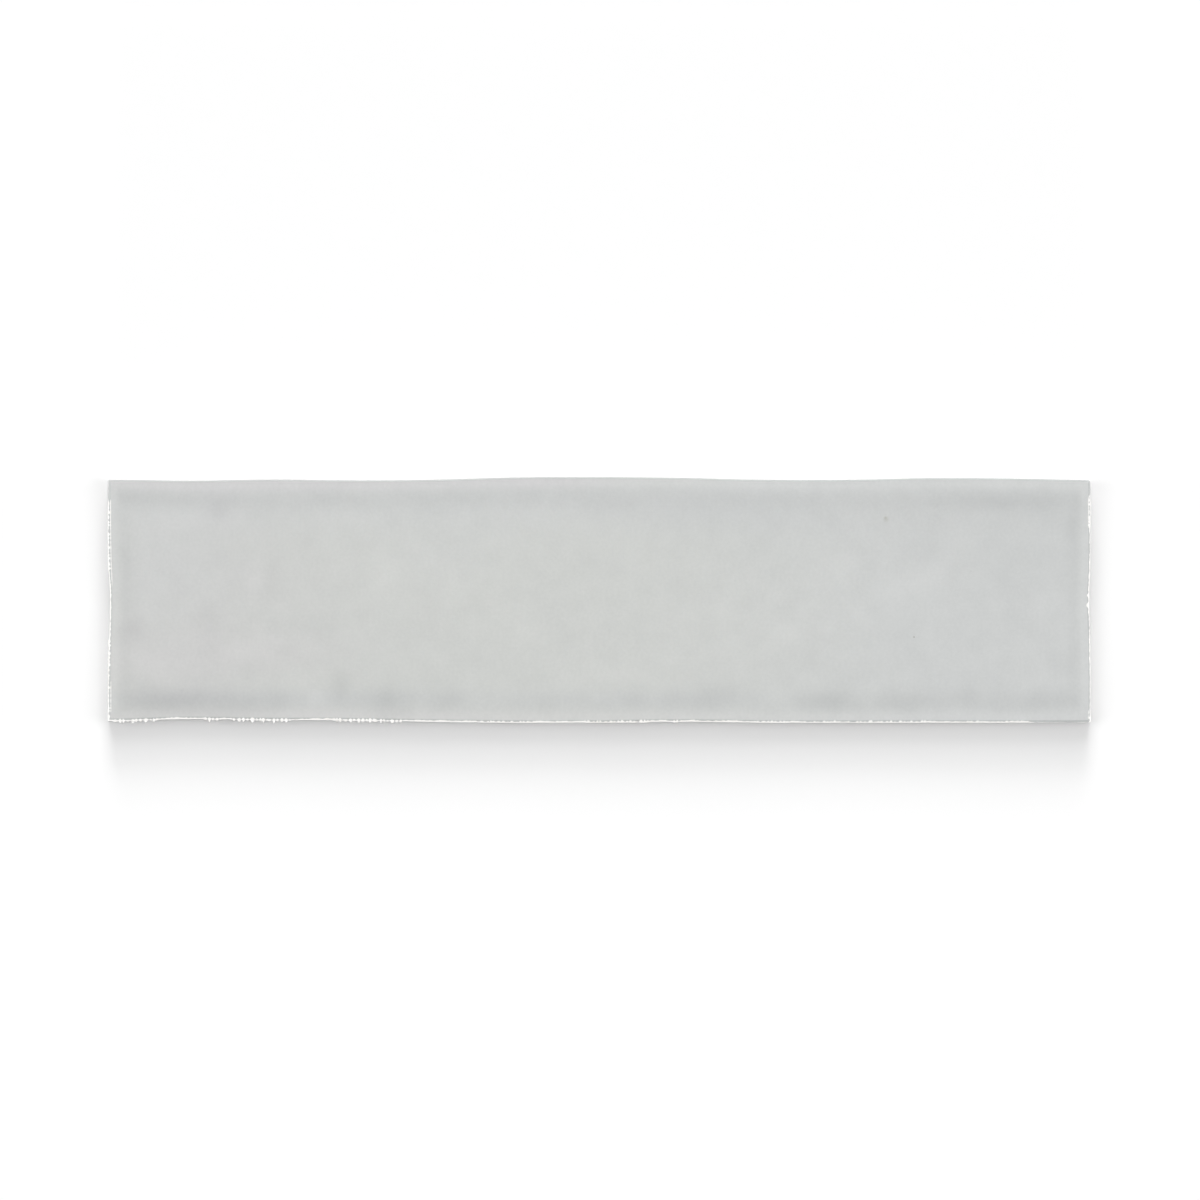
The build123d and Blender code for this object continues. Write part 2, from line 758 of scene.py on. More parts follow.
@dataclass(frozen=True)
class GlazedBody:
    """The tile's one material: glaze down to a ragged line on the sides, and bare body below it."""

    glaze: Glaze = Glaze()
    body: BareBody = BareBody()
    attribute: str = "glaze_reach"
    line_blur: float = 0.05
    run_size: float = 6.0
    run_height: float = 0.9
    ragged_size: float = 0.9
    ragged_height: float = 0.7

    def make(self, face_height: float) -> bpy.types.Material:
        """Makes the material.

        Args:
            face_height: Height of the face, in millimetres.

        Returns:
            The material.
        """
        shader = Shader("glazed_body")
        place = shader.place_mm()
        reach = shader.wire("ShaderNodeAttribute", {"attribute_name": self.attribute}, output="Fac")
        runs = shader.ripple(place, self.run_size) * self.run_height
        ragged = shader.ripple(place, self.ragged_size) * self.ragged_height
        bare = 1 - shader.fade(reach + runs + ragged, -self.line_blur, self.line_blur)
        glaze = self.glaze.surface(shader, place, face_height)
        body = self.body.surface(shader, place)
        return shader.finish(shader.wire("ShaderNodeMixShader", None, {0: bare, 1: glaze, 2: body}))


@dataclass(frozen=True)
class Blank:
    """The flat pressed tile, before its edges wander and its face waves. Lengths are metres."""

    half_length: float
    half_width: float
    thickness: float = 8.0 * MM
    lean: float = 0.5 * MM
    arris_radius: float = 0.6 * MM
    arris_steps: int = 6
    # Fine rings on the face's rim, and how far in from an edge the rim's traits reach
    rim_rings: int = 2
    rim_step: float = 0.25 * MM
    rim_reach: float = 1.6 * MM
    # Rings of the sides, which crowd towards the arris
    side_steps: int = 10
    side_crowding: float = 1.5
    # The foot's cut, and the shares of it, inwards and upwards, where its middle ring lies
    foot_cut: float = 0.4 * MM
    foot_middle: tuple[float, float] = (0.4, 0.2)
    # Divisions of the face, of each of its cells along the rim, and of the round corners
    cell: float = 1.2 * MM
    rim_cuts: int = 4
    corner_steps: int = 5
    # Radius of each corner
    corners: ClassVar[dict[tuple[Edge, Edge], float]] = {
        (Edge.LEFT, Edge.NEAR): 0.45 * MM,
        (Edge.RIGHT, Edge.NEAR): 0.5 * MM,
        (Edge.LEFT, Edge.FAR): 0.45 * MM,
        (Edge.RIGHT, Edge.FAR): 1.0 * MM,
    }

    @property
    def rings(self) -> list[tuple[float, float]]:
        """The rings of points from the face's rim, round the arris and down the side to the foot.

        Returns:
            For each ring how far inside the foot's outline it lies, and how high.
        """
        slope = self.lean / self.thickness
        middle = self.thickness - self.arris_radius
        centre = slope * middle + self.arris_radius * sqrt(1 + slope**2)
        turns = np.linspace(0, pi / 2 - atan(slope), self.arris_steps + 1)
        arris = [(centre - self.arris_radius * sin(t), middle + self.arris_radius * cos(t)) for t in turns]
        drops = np.linspace(0, 1, self.side_steps + 1)[1:] ** self.side_crowding
        heights = arris[-1][1] + (self.foot_cut - arris[-1][1]) * drops
        rim = [(centre + step * self.rim_step, self.thickness) for step in range(self.rim_rings, 0, -1)]
        side = [(slope * height, height) for height in heights]
        inwards, upwards = self.foot_middle
        foot = [(inwards * self.foot_cut, upwards * self.foot_cut), (self.foot_cut, 0.0)]
        return rim + arris + side + foot

    @property
    def rim_inset(self) -> float:
        """How far inside the foot the face's rim lies, where the arris starts."""
        return self.rings[self.rim_rings][0]

    def lay_face(self) -> bpy.types.Object:
        """Lays the flat face as a grid with round corners and a finely divided rim.

        Returns:
            The face, open all round.
        """
        inset, height = self.rings[0]
        reach_x = self.half_length - inset
        reach_y = self.half_width - inset
        face = Bench.start(
            "primitive_grid_add",
            x_subdivisions=round(2 * reach_x / self.cell),
            y_subdivisions=round(2 * reach_y / self.cell),
            size=1,
        )
        face.name = "glazed_tile"
        Bench.edit()
        bpy.ops.transform.resize(value=(2 * reach_x, 2 * reach_y, 1), center_override=(0, 0, 0))
        bpy.ops.transform.translate(value=(0, 0, height))
        Bench.leave()
        for (side, end), radius in self.corners.items():
            corner_x = reach_x if side is Edge.RIGHT else -reach_x
            corner_y = reach_y if end is Edge.FAR else -reach_y
            points = Bench.points(face)
            away = np.hypot(points[:, 0] - corner_x, points[:, 1] - corner_y)
            Bench.pick(face, away < self.cell / 4)
            bpy.ops.mesh.bevel(offset=radius, segments=self.corner_steps, affect="VERTICES")
            Bench.leave()
        Bench.edit()
        Bench.pick_open_edges()
        bpy.ops.mesh.subdivide(number_cuts=self.rim_cuts)
        Bench.leave()
        return face

    def turn_down(self) -> None:
        """Draws the active face's open rim down round the arris, the side and the foot, ring by ring."""
        Bench.edit()
        Bench.pick_open_edges()
        last_inset, last_height = self.rings[0]
        for inset, height in self.rings[1:]:
            bpy.ops.mesh.extrude_region_move()
            grow_x = (self.half_length - inset) / (self.half_length - last_inset)
            grow_y = (self.half_width - inset) / (self.half_width - last_inset)
            bpy.ops.transform.resize(value=(grow_x, grow_y, 1), center_override=(0, 0, 0))
            bpy.ops.transform.translate(value=(0, 0, height - last_height))
            last_inset, last_height = inset, height
        Bench.leave()

    def insides(self, flat: np.ndarray) -> dict[Edge, np.ndarray]:
        """How far inside each edge the points lie.

        Args:
            flat: Points of the flat tile, one row each, in metres.

        Returns:
            For each edge the distances, in metres.
        """
        x, y, _ = flat.T
        return {
            Edge.NEAR: self.half_width + y,
            Edge.FAR: self.half_width - y,
            Edge.LEFT: self.half_length + x,
            Edge.RIGHT: self.half_length - x,
        }

    def by_edge(self, flat: np.ndarray, values: ByEdge) -> np.ndarray:
        """Gives each point the value of the edge that it is nearest to.

        Args:
            flat: Points of the flat tile, one row each, in metres.
            values: A value for each edge.

        Returns:
            A value for each point.
        """
        insides = self.insides(flat)
        nearest = np.argmin([insides[edge] for edge in Edge], axis=0)
        return np.array([values[edge] for edge in Edge])[nearest]

    def trait(self, flat: np.ndarray, spans: tuple[Span, ...]) -> np.ndarray:
        """Strength of a trait of the rim.

        Args:
            flat: Points of the flat tile, one row each, in metres.
            spans: Where along the edges the trait is.

        Returns:
            The trait's strength at each point, 0 away from the rim.
        """
        x, y, _ = flat.T / MM
        insides = self.insides(flat)
        strength = np.zeros(len(flat))
        for span in spans:
            along = x if span.edge.is_long else y
            there = rise(along, span.start - span.blend, span.start + span.blend)
            there *= 1 - rise(along, span.end - span.blend, span.end + span.blend)
            there *= insides[span.edge] < self.rim_reach
            strength = np.maximum(strength, span.strength * there)
        return strength

    def arris_turn(self, flat: np.ndarray) -> np.ndarray:
        """How far round the arris each point lies: 0 on the face, 1 on the sides and the back."""
        drop = np.clip((self.thickness - flat[:, 2]) / self.arris_radius, 0, 1)
        return np.sqrt(1 - (1 - drop) ** 2)

    def way_down(self, flat: np.ndarray, inside_rim: np.ndarray) -> np.ndarray:
        """How far each point lies from the face's rim, down round the arris and the side.

        Args:
            flat: Points of the flat tile, one row each, in metres.
            inside_rim: How far inside the face's rim they lie, in metres.

        Returns:
            The way down to each point in metres, below 0 on the face.
        """
        arc = self.arris_radius * np.arcsin(self.arris_turn(flat))
        below = np.clip(self.thickness - self.arris_radius - flat[:, 2], 0, None)
        on_top = flat[:, 2] > self.thickness / 2
        return arc + below - np.clip(inside_rim, 0, None) * on_top


@dataclass(frozen=True)
class KeyedBack:
    """The field of shallow pockets on the back. Lengths are metres, and the taper is in degrees."""

    border: float = 8.0 * MM
    pocket: float = 12.0 * MM
    rib: float = 3.0 * MM
    depth: float = 0.7 * MM
    taper: float = 35.0
    corner_cut: float = 1.5 * MM
    lip: float = 0.15 * MM
    lip_steps: int = 2

    def count(self, half: float) -> int:
        """How many pockets fit across a half size of the back."""
        return int((2 * half - 2 * self.border + self.rib) // (self.pocket + self.rib))

    def in_mouth(self, points: np.ndarray) -> np.ndarray:
        """Which points of the first cell lie on a pocket's mouth or inside it, and not on the ribs."""
        return np.abs(points).max(axis=1) < self.pocket / 2 + self.rib / 4

    def press(self, half_length: float, half_width: float) -> bpy.types.Object:
        """Presses one pocket with half a rib all round, and repeats it into a field that faces down.

        Args:
            half_length: Half the tile's length.
            half_width: Half its width.

        Returns:
            The field of pockets.
        """
        pitch = self.pocket + self.rib
        columns, rows = self.count(half_length), self.count(half_width)
        field = Bench.start("primitive_plane_add", size=pitch)
        Bench.edit()
        bpy.ops.mesh.inset(thickness=self.rib / 2)
        Bench.leave()
        # The mouth's cut corners
        Bench.pick(field, self.in_mouth(Bench.points(field)))
        bpy.ops.mesh.bevel(offset=self.corner_cut, segments=1, affect="VERTICES")
        Bench.leave()
        # The sloped walls and the floor of the pocket
        Bench.pick(field, self.in_mouth(Bench.points(field)))
        bpy.ops.mesh.inset(thickness=self.depth * tan(radians(self.taper)), depth=self.depth)
        Bench.leave()
        # The softened lip
        points = Bench.points(field)
        Bench.pick(field, self.in_mouth(points) & (np.abs(points[:, 2]) < self.depth / 2))
        bpy.ops.mesh.bevel(offset=self.lip, segments=self.lip_steps, affect="EDGES")
        # The cell faces down and moves to the first corner of the field
        bpy.ops.mesh.select_all(action="SELECT")
        bpy.ops.mesh.flip_normals()
        bpy.ops.transform.translate(value=(-pitch * (columns - 1) / 2, -pitch * (rows - 1) / 2, 0))
        Bench.leave()
        for count, step in ((columns, (pitch, 0, 0)), (rows, (0, pitch, 0))):
            Bench.apply(
                field,
                "ARRAY",
                count=count,
                use_relative_offset=False,
                use_constant_offset=True,
                constant_offset_displace=step,
                use_merge_vertices=True,
                merge_threshold=HAIR,
            )
        return field


@dataclass(frozen=True)
class GlazeLay:
    """How the glaze lies: its depth, as a share of the field's, its end line and its faint tints, with
    painted shade on the arris and the sides and painted glints inside the rim.

    Lengths are millimetres.
    """

    # Where the thin glaze of the rim gives way to the field, and how much thinner it is
    rim_fade: tuple[float, float] = (2.0, 4.8)
    rim_lifts: ClassVar[ByEdge] = {Edge.NEAR: 0.32, Edge.FAR: 0.44, Edge.LEFT: 0.38, Edge.RIGHT: 0.38}
    # Painted shade: the thin dark line where the face turns down, a darker glaze depth on the arris; how far
    # it comes in past the rim and goes out over it
    line_inside: float = 0.3
    line_outside: float = 0.15
    arris_shade_depths: ClassVar[ByEdge] = {Edge.NEAR: 2.9, Edge.FAR: 1.9, Edge.LEFT: 2.3, Edge.RIGHT: 2.6}
    # Painted shade down the sides: a darker glaze depth there, from this share of the arris's turn on
    side_start: float = 0.75
    side_shade_depths: ClassVar[ByEdge] = {Edge.NEAR: 2.2, Edge.FAR: 2.6, Edge.LEFT: 3.4, Edge.RIGHT: 3.4}
    # How far down from the rim the glaze reaches, and the stretches where it runs on over the arris
    reaches: ClassVar[ByEdge] = {Edge.NEAR: 0.20, Edge.FAR: 1.8, Edge.LEFT: 0.29, Edge.RIGHT: 0.33}
    cover_reach: float = 4.0
    covers: tuple[Span, ...] = (
        Span(Edge.NEAR, 134.5, 147.0, blend=4.0),
        Span(Edge.LEFT, 31.0, 41.0, 0.4, 2.5),
        Span(Edge.RIGHT, 33.0, 41.0, 0.4, 2.5),
    )
    # Painted glints: thin lines inside the rim where the glaze is left off, so the bare white body stands in
    # for the glint along the arris
    glint_loss: float = 1.4
    glint_half_width: float = 0.075
    glint_insets: ClassVar[ByEdge] = {Edge.NEAR: 0.25, Edge.FAR: 0.25, Edge.LEFT: 0.25, Edge.RIGHT: 0.0}
    painted_glints: tuple[Span, ...] = (
        Span(Edge.LEFT, 5.0, 31.7, blend=3.0),
        Span(Edge.LEFT, -34.5, -24.0, blend=3.0),
        Span(Edge.RIGHT, 22.8, 31.7, 0.7, 3.0),
        Span(Edge.RIGHT, -36.7, -33.3, 0.6),
    )
    # Chips that bare the body
    chips: tuple[Patch, ...] = (
        Patch(149.0, -1.6, 0.45, 0.5, 1.2),
        Patch(149.1, 1.4, 0.35, 0.3, 1.0),
    )
    # Deeper bands along the edges, deeper pools and thinner blooms
    bands: ClassVar[dict[Edge, Band]] = {
        Edge.NEAR: Band(6.6, 3.2, 0.37),
        Edge.FAR: Band(7.0, 3.1, 0.44),
        Edge.LEFT: Band(5.6, 1.8, 0.20),
        Edge.RIGHT: Band(5.4, 2.0, 0.25),
    }
    pools: tuple[Patch, ...] = (
        Patch(-133.0, -30.4, 15.0, 3.6, 0.90),
        Patch(-112.0, -30.5, 12.0, 3.4, 0.50),
        Patch(-97.0, -29.8, 4.0, 3.2, 0.30),
        Patch(-79.0, -26.0, 3.2, 5.0, 0.55),
        Patch(-65.0, -30.2, 6.5, 3.8, 0.75),
        Patch(-46.0, -30.2, 5.0, 3.6, 0.50),
        Patch(-18.0, -30.5, 3.0, 3.0, 0.25),
        Patch(10.0, -30.8, 4.5, 3.1, 0.42),
        Patch(23.0, -30.5, 4.0, 3.0, 0.30),
        Patch(36.0, -28.5, 7.0, 3.6, 0.50, turn=20.0),
        Patch(71.0, -31.0, 7.5, 3.4, 0.60),
        Patch(94.0, -30.8, 8.5, 3.2, 0.46),
        Patch(113.0, -28.5, 4.0, 3.5, 0.40),
        Patch(136.0, -30.8, 12.0, 3.2, 0.30),
        Patch(-122.0, -34.8, 24.0, 2.4, 0.50),
        Patch(-64.0, -34.8, 7.0, 2.2, 0.30),
        Patch(-144.0, 31.0, 3.0, 3.0, 0.35),
        Patch(75.0, 25.0, 75.0, 5.0, 0.22),
        Patch(118.0, 15.0, 35.0, 8.0, 0.15),
        Patch(112.0, 0.0, 45.0, 36.0, 0.06),
        Patch(-116.0, 27.0, 3.5, 5.0, 0.30),
        Patch(2.0, 29.0, 6.0, 3.0, 0.20),
        Patch(125.0, 29.5, 21.0, 3.0, 0.40),
        Patch(145.0, 22.0, 2.0, 10.0, 0.30),
        Patch(-142.0, -9.0, 3.0, 4.5, 0.55),
        Patch(-144.5, 12.0, 2.0, 6.0, 0.25),
        Patch(-119.0, -8.0, 5.0, 6.0, 0.30),
        Patch(-108.0, -22.5, 5.0, 3.0, 0.25),
        Patch(-99.0, 9.5, 3.0, 4.0, 0.30),
        Patch(-95.0, -7.0, 8.0, 2.5, 0.20),
        Patch(-86.0, -8.5, 4.0, 4.0, 0.30),
        Patch(-54.0, -9.0, 3.5, 3.0, 0.20),
        Patch(-38.0, -17.0, 3.0, 3.0, 0.20),
        Patch(50.0, 15.0, 10.0, 5.0, 0.12),
        Patch(65.0, -18.0, 8.0, 4.0, 0.20),
        Patch(90.0, 19.0, 14.0, 5.0, 0.12),
        Patch(99.0, 14.0, 3.5, 4.0, 0.25),
        Patch(124.0, 8.0, 3.5, 10.0, 0.20),
        Patch(128.0, -7.0, 3.0, 3.0, 0.20),
        Patch(139.0, -19.0, 3.0, 3.0, 0.25),
    )
    blooms: tuple[Patch, ...] = (
        Patch(-137.0, -18.0, 7.0, 4.5, -0.35),
        Patch(-131.0, 24.0, 12.0, 5.0, -0.25),
        Patch(-109.0, -15.5, 7.0, 4.0, -0.35, turn=15.0),
        Patch(-105.5, 7.0, 3.0, 4.5, -0.35),
        Patch(-86.5, -30.0, 2.5, 3.0, -0.35),
        Patch(-66.0, 6.0, 4.5, 3.5, -0.35, turn=20.0),
        Patch(-30.0, -30.0, 7.0, 3.0, -0.20),
        Patch(-22.0, -9.0, 5.0, 4.0, -0.12),
        Patch(4.0, -23.0, 6.0, 3.0, -0.20),
        Patch(43.0, -16.0, 5.0, 3.5, -0.20),
        Patch(56.0, -30.0, 5.0, 3.0, -0.25),
        Patch(57.5, -10.5, 4.0, 3.0, -0.30),
        Patch(69.0, -8.0, 3.5, 3.0, -0.25),
        Patch(73.0, 10.0, 6.0, 4.0, -0.25),
        Patch(79.0, -4.5, 4.0, 3.0, -0.25, turn=20.0),
        Patch(82.5, -30.0, 2.5, 3.0, -0.25),
        Patch(97.0, 5.0, 10.0, 5.0, -0.35, turn=30.0),
        Patch(134.0, -16.0, 5.0, 3.5, -0.20),
        Patch(138.0, -2.0, 6.0, 5.0, -0.20),
    )
    # Shares of the cool tint and of the blush
    cools: tuple[Patch, ...] = (
        Patch(135.0, 0.0, 80.0, 90.0, 1.3),
        Patch(0.0, 30.0, 300.0, 9.0, 0.85),
        Patch(-134.0, 9.0, 20.0, 16.0, 0.60),
        Patch(-90.0, -30.3, 75.0, 3.0, 0.75),
        Patch(20.0, -30.5, 40.0, 3.0, 0.55),
        Patch(-48.0, 14.0, 16.0, 8.0, 0.30),
    )
    blushes: tuple[Patch, ...] = (
        Patch(-130.0, -19.0, 28.0, 10.0, 0.75),
        Patch(-128.0, -30.0, 16.0, 4.0, 0.30),
        Patch(-95.0, -16.0, 22.0, 6.0, 0.40),
        Patch(-118.0, 4.0, 45.0, 30.0, 0.45),
        Patch(-105.0, 6.0, 8.0, 6.0, 0.25),
        Patch(-119.0, -8.0, 6.0, 6.0, 0.30),
        Patch(-116.0, 28.0, 6.0, 9.0, 0.30),
        Patch(-142.0, -9.0, 4.0, 5.0, 0.40),
        Patch(-100.0, 36.0, 70.0, 2.4, 1.20),
        Patch(-18.0, 36.0, 18.0, 2.4, 0.90),
        Patch(-95.0, -35.5, 110.0, 2.2, 0.85),
        Patch(70.0, -35.5, 70.0, 2.0, 0.20),
    )

    def depth(self, flat: np.ndarray, blank: Blank) -> np.ndarray:
        """How deep the glaze lies at each point: 1 on the field, less on the rim and more in the pools, and
        deeper still on the arris and the sides, where the extra depth is painted shade.

        Args:
            flat: Points of the flat tile, one row each, in metres.
            blank: The flat tile.

        Returns:
            The depth at each point.
        """
        insides = {edge: inside / MM for edge, inside in blank.insides(flat).items()}
        rims = {edge: 1 - rise(insides[edge], *self.rim_fade) for edge in Edge}
        rim = np.max([rims[edge] for edge in Edge], axis=0)
        lift = np.max([self.rim_lifts[edge] * rims[edge] for edge in Edge], axis=0)
        band = np.max([self.bands[edge].at(insides[edge]) for edge in Edge], axis=0)
        face = 1 - lift + (1 - rim) * band + tone(flat, self.pools + self.blooms)
        inside = np.min([insides[edge] for edge in Edge], axis=0)
        rim_inset = blank.rim_inset / MM
        # Painted shade: the glaze darkens along the arris line and down the sides, standing in for the shade
        # where the face turns down
        on_line = 1 - rise(inside, rim_inset - self.line_outside, rim_inset + self.line_inside)
        arris = face + (blank.by_edge(flat, self.arris_shade_depths) - face) * on_line
        on_side = rise(blank.arris_turn(flat), self.side_start, 1.0)
        return arris + (blank.by_edge(flat, self.side_shade_depths) - arris) * on_side

    def reach(self, flat: np.ndarray, blank: Blank, fringe: Fringe) -> np.ndarray:
        """How far the glaze goes on past each point before the bare body starts, in millimetres.

        Args:
            flat: Points of the flat tile, one row each, in metres.
            blank: The flat tile.
            fringe: Its crumbs, between which the glaze runs further down.

        Returns:
            The reach at each point, below 0 where the body is bare.
        """
        x, y, _ = flat.T
        insides = blank.insides(flat)
        inside_rim = np.min([insides[edge] for edge in Edge], axis=0) - blank.rim_inset
        on_end = np.minimum(insides[Edge.LEFT], insides[Edge.RIGHT]) < blank.rim_reach
        gaps = blank.trait(flat, fringe.spans) * fringe.glaze_gap(np.where(on_end, y, x))
        plain = blank.by_edge(flat, self.reaches) + gaps
        line = np.maximum(plain, self.cover_reach * blank.trait(flat, self.covers))
        # Painted glints: the glaze stops short along thin lines inside the rim, baring white body in place
        # of the arris glint
        off_glint = (inside_rim / MM - blank.by_edge(flat, self.glint_insets)) / self.glint_half_width
        glint_bared = self.glint_loss * np.exp(-(off_glint**2)) * blank.trait(flat, self.painted_glints)
        return line - blank.way_down(flat, inside_rim) / MM - glint_bared - tone(flat, self.chips)

    def note_on(self, piece: bpy.types.Object, flat: np.ndarray, blank: Blank, fringe: Fringe) -> None:
        """Notes on the tile's points what its material reads.

        Args:
            piece: The tile.
            flat: Its points while it was flat, one row each, in metres.
            blank: The flat tile.
            fringe: Its crumbs.
        """
        Bench.note(piece, Glaze.attribute, self.depth(flat, blank))
        Bench.note(piece, Glaze.cool_attribute, np.clip(tone(flat, self.cools), 0, 1))
        Bench.note(piece, Glaze.blush_attribute, np.clip(tone(flat, self.blushes), 0, 1))
        Bench.note(piece, GlazedBody.attribute, self.reach(flat, blank, fringe))


@dataclass(frozen=True)
class WallTile:
    """The tile as one mesh: a wavy glazed face, an arris, almost upright sides and a keyed back."""

    blank: Blank
    back: KeyedBack = KeyedBack()
    fringe: Fringe = Fringe()
    glaze_lay: GlazeLay = GlazeLay()
    # The face falls away near the edges like a pillow, and its field has slow waves
    pillow_drop: float = 0.35 * MM
    pillow_width: float = 10.0 * MM
    waves: tuple[Wave, ...] = (Wave(0.07, 96.0, 12.0), Wave(0.05, 58.0, 118.0), Wave(0.04, 37.0, 64.0))
    # The wander of the edges, which dies out on the face this far in
    pull_end: float = 8.0 * MM
    wanders: ClassVar[dict[Edge, Wander]] = {
        Edge.NEAR: Wander((0.54, 1.14, 0.84, 0.74, 0.28, 0.03, 0.08, 0.33, 0.03, 0.03, 0.08, 0.03, 0.08)),
        Edge.FAR: Wander((0.75, 1.1, 0.75, 1.0, 0.8, 0.1, 0.0, 0.25, 0.8, 0.85, 0.35, 0.45, 0.9)),
        Edge.LEFT: Wander((0.1, 0.1, 0.35, 0.6, 0.15, 0.0, 0.05)),
        Edge.RIGHT: Wander((0.1, 0.0, 0.1, 0.4, 0.05, 0.1, 0.05)),
    }
    # How far the top of each side comes out again, so that it stands almost upright
    plumbs: ClassVar[ByEdge] = {
        Edge.NEAR: 0.38 * MM,
        Edge.FAR: 0.54 * MM,
        Edge.LEFT: 0.36 * MM,
        Edge.RIGHT: 0.40 * MM,
    }
    face_lumps: Lumps = Lumps("face", LumpPattern.CLOUDS, 9.0 * MM, 0.03 * MM, 1.0)
    side_lumps: Lumps = Lumps("sides", LumpPattern.CLOUDS, 2.2 * MM, 0.08 * MM, 1.0)
    crumb_lumps: Lumps = Lumps("crumbs", LumpPattern.CELLS, 0.8 * MM, -0.18 * MM, 0.5)
    crumb_top: float = 6.8 * MM
    # Sharper edges than this, in degrees, aren't shaded smooth
    smooth_angle: float = 40.0

    def close(self, tile: bpy.types.Object, field: bpy.types.Object) -> None:
        """Joins the keyed field to the tile, bridges the plain border between them and turns faces out.

        Args:
            tile: The tile, open below.
            field: The keyed field.
        """
        bpy.ops.object.select_all(action="DESELECT")
        field.select_set(True)
        tile.select_set(True)
        bpy.context.view_layer.objects.active = tile
        bpy.ops.object.join()
        Bench.edit()
        Bench.pick_open_edges()
        bpy.ops.mesh.bridge_edge_loops()
        bpy.ops.mesh.select_all(action="SELECT")
        bpy.ops.mesh.normals_make_consistent(inside=False)
        Bench.leave()

    def shape(self, flat: np.ndarray) -> np.ndarray:
        """Gives the flat tile its pillowed, wavy face, its wandering edges and its crumbs.

        Args:
            flat: Points of the flat tile, one row each, in metres.

        Returns:
            Where those points end up.
        """
        blank = self.blank
        x, y, z = flat.T
        lift = z / blank.thickness
        insides = blank.insides(flat)
        fall = sum(
            self.pillow_drop * np.clip(1 - edge / self.pillow_width, 0, None) ** 2
            for edge in (blank.half_length - np.abs(x), blank.half_width - np.abs(y))
        )
        height = z + lift * (sum(wave.at(x, y) for wave in self.waves) - fall)
        in_length = (x + blank.half_length) / (2 * blank.half_length)
        in_width = (y + blank.half_width) / (2 * blank.half_width)
        pulled = {}
        for edge in Edge:
            along, share = (x, in_length) if edge.is_long else (y, in_width)
            near_edge = 1 - rise(insides[edge], blank.rim_reach, self.pull_end)
            wander = (self.wanders[edge].at(share) - self.plumbs[edge] * lift) * near_edge
            spans = tuple(span for span in self.fringe.spans if span.edge is edge)
            pulled[edge] = wander - blank.trait(flat, spans) * self.fringe.stand_out(along, z)
        new_x = x + pulled[Edge.LEFT] - pulled[Edge.RIGHT]
        new_y = y + pulled[Edge.NEAR] - pulled[Edge.FAR]
        return np.stack((new_x, new_y, height), axis=1)

    def roughen(self, tile: bpy.types.Object, flat: np.ndarray) -> None:
        """Raises small lumps on the face, the sides and the crumbs, and keeps them in the overall size.

        Args:
            tile: The active object.
            flat: Its points while it was flat, one row each, in metres.
        """
        height = flat[:, 2]
        turn = self.blank.arris_turn(flat)
        off_pockets = np.abs(height - self.back.depth) > HAIR
        on_side = rise(height, 0.0, self.back.depth) * off_pockets
        crumbs = self.blank.trait(flat, self.fringe.spans) * (height < self.crumb_top)
        self.face_lumps.raise_on(tile, 1 - turn)
        self.side_lumps.raise_on(tile, turn * on_side)
        self.crumb_lumps.raise_on(tile, crumbs * on_side)
        points = Bench.points(tile)
        most = np.array((self.blank.half_length, self.blank.half_width)) - 2 * HAIR
        points[:, :2] = np.clip(points[:, :2], -most, most)
        Bench.put(tile, points)

    def build(self) -> bpy.types.Object:
        """Models the tile and dresses it.

        Returns:
            The tile, one object at the origin.
        """
        tile = self.blank.lay_face()
        self.blank.turn_down()
        self.close(tile, self.back.press(self.blank.half_length, self.blank.half_width))
        flat = Bench.points(tile)
        Bench.put(tile, self.shape(flat))
        self.glaze_lay.note_on(tile, flat, self.blank, self.fringe)
        self.roughen(tile, flat)
        bpy.ops.object.shade_smooth_by_angle(angle=radians(self.smooth_angle))
        tile.data.materials.clear()
        tile.data.materials.append(GlazedBody().make(self.blank.thickness / MM))
        return tile


@dataclass(frozen=True)
class Lamp:
    """A soft distant lamp: where it stands in degrees, its level, its spread and its bounces."""

    name: str
    azimuth: float
    elevation: float
    level: float
    spread: float
    bounces: int = 4

    def hang(self) -> None:
        """Adds the lamp, with its level as the brightness of a white surface that faces it."""
        data = bpy.data.lights.new(self.name, "SUN")
        data.energy = pi * self.level
        data.angle = radians(self.spread)
        data.cycles.max_bounces = self.bounces
        lamp = bpy.data.objects.new(self.name, data)
        bearing, height = radians(self.azimuth), radians(self.elevation)
        towards = Vector((sin(bearing) * cos(height), cos(bearing) * cos(height), sin(height)))
        lamp.rotation_euler = towards.to_track_quat("Z", "Y").to_euler()
        lamp.location = towards
        lamp.visible_glossy = False
        bpy.context.scene.collection.objects.link(lamp)


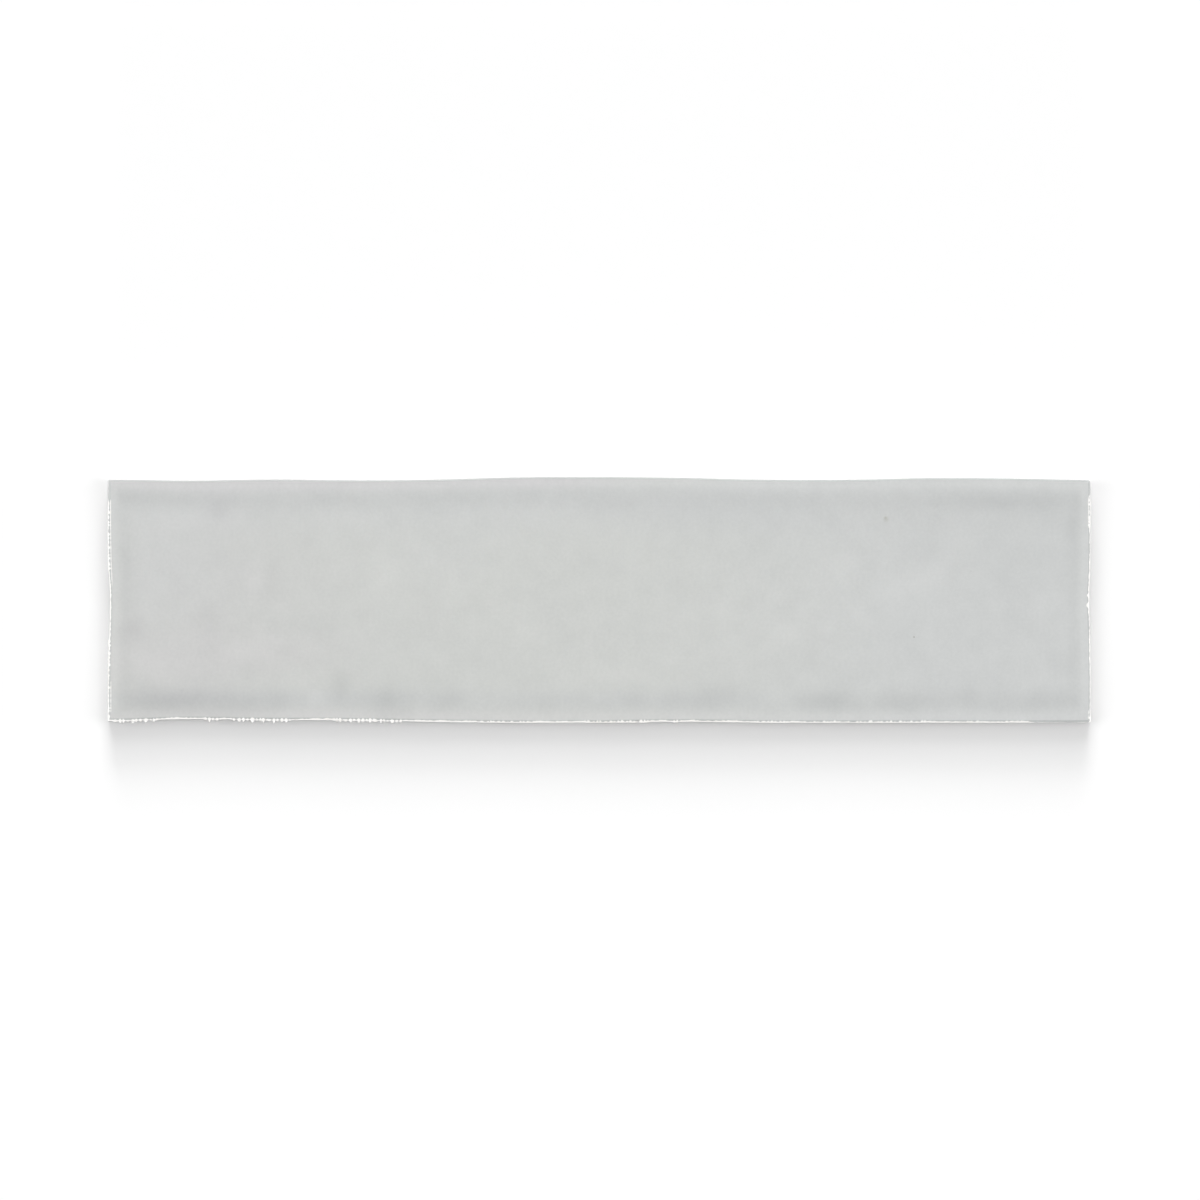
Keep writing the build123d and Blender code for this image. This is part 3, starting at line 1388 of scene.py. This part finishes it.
@dataclass(frozen=True)
class Studio:
    """A white floor, soft lamps, a pale room and a camera straight above the tile."""

    # The floor: as the camera and the gloss see it, as light bounces off it, and its faint glow
    floor_half: float = 6.0
    floor_gap: float = HAIR
    floor_colour: Colour = (0.93, 0.93, 0.93)
    floor_dim: Colour = (0.35, 0.35, 0.35)
    floor_lift: float = 0.06
    # The room's even light, and how bright the gloss mirrors it
    room_colour: Colour = (1.0, 1.0, 1.0)
    room_level: float = 0.03
    mirror_level: float = 0.4
    # The camera and the width that it frames; the sensor is in millimetres
    camera_distance: float = 8.0
    view_width: float = 366.0 * MM
    view_middle: tuple[float, float] = (0.23 * MM, 0.0)
    sensor: float = 36.0
    # The low lamps graze the floor to light the sides, and their light doesn't bounce on
    lamps: tuple[Lamp, ...] = (
        Lamp("far_low", 0.0, 19.0, 0.504, 24.0),
        Lamp("far_high", 0.0, 42.0, 0.327, 40.0),
        Lamp("left", -90.0, 52.0, 0.228, 42.0),
        Lamp("right", 90.0, 52.0, 0.228, 42.0),
        Lamp("top", 0.0, 88.0, 0.189, 4.0),
        Lamp("low_left", -90.0, 2.0, 0.70, 3.0, bounces=0),
        Lamp("low_right", 90.0, 2.0, 0.70, 3.0, bounces=0),
        Lamp("low_near", 180.0, 2.0, 0.87, 3.0, bounces=0),
    )

    def lay_floor(self) -> None:
        """Lays the floor: white to the camera and in reflections, dim for the light that it throws back."""
        floor = Bench.start("primitive_plane_add", size=2 * self.floor_half)
        floor.name = "floor"
        Bench.edit()
        bpy.ops.transform.translate(value=(0, 0, -self.floor_gap))
        Bench.leave()
        shader = Shader("white_floor")
        seen = shader.wire("ShaderNodeLightPath", output="Is Camera Ray")
        mirrored = shader.wire("ShaderNodeLightPath", output="Is Glossy Ray")
        colour = shader.mix_colour(seen + mirrored, self.floor_dim, self.floor_colour)
        diffuse = shader.wire("ShaderNodeBsdfDiffuse", None, {"Color": colour})
        glow = shader.wire("ShaderNodeEmission", None, {"Strength": seen * self.floor_lift})
        surface = shader.wire("ShaderNodeAddShader", None, {0: diffuse, 1: glow})
        floor.data.materials.append(shader.finish(surface))

    def light_room(self) -> None:
        """Gives the room its faint even light and the paler look that gloss mirrors, and hangs the lamps."""
        world = bpy.data.worlds.new("pale_room")
        world.use_nodes = True
        tree = world.node_tree
        background = tree.nodes["Background"]
        background.inputs["Color"].default_value = (*self.room_colour, 1.0)
        path = tree.nodes.new("ShaderNodeLightPath")
        level = tree.nodes.new("ShaderNodeMapRange")
        level.inputs["To Min"].default_value = self.room_level
        level.inputs["To Max"].default_value = self.mirror_level
        tree.links.new(path.outputs["Is Glossy Ray"], level.inputs["Value"])
        tree.links.new(level.outputs["Result"], background.inputs["Strength"])
        bpy.context.scene.world = world
        for lamp in self.lamps:
            lamp.hang()

    def place_camera(self, face_height: float) -> None:
        """Hangs the camera straight above the tile, far enough off that the sides show no slant.

        Args:
            face_height: Height of the tile's face, in metres.
        """
        data = bpy.data.cameras.new("camera")
        data.sensor_width = self.sensor
        data.lens = self.sensor * self.camera_distance / self.view_width
        data.clip_end = 4 * self.camera_distance
        camera = bpy.data.objects.new("camera", data)
        camera.location = (*self.view_middle, face_height + self.camera_distance)
        bpy.context.scene.collection.objects.link(camera)
        bpy.context.scene.camera = camera
        bpy.context.scene.view_settings.view_transform = "Standard"

    def set_up(self, face_height: float) -> None:
        """Sets up the whole studio round the tile.

        Args:
            face_height: Height of the tile's face, in metres.
        """
        self.lay_floor()
        self.light_room()
        self.place_camera(face_height)


def main() -> None:
    """Builds the tile in place of its CAD solid, sets up the studio and logs the tile's point and face
    counts.
    """
    logging.basicConfig(level=logging.INFO, format="%(name)s: %(message)s")
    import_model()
    low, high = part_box(NODE)
    tile = WallTile(Blank((high.x - low.x) / 2, (high.y - low.y) / 2))
    piece = tile.build()
    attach(piece, BODY)
    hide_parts(NODE)
    LOG.info("%s: %d points, %d faces", piece.name, len(piece.data.vertices), len(piece.data.polygons))
    Studio().set_up(tile.blank.thickness)


if __name__ == "__main__":
    main()
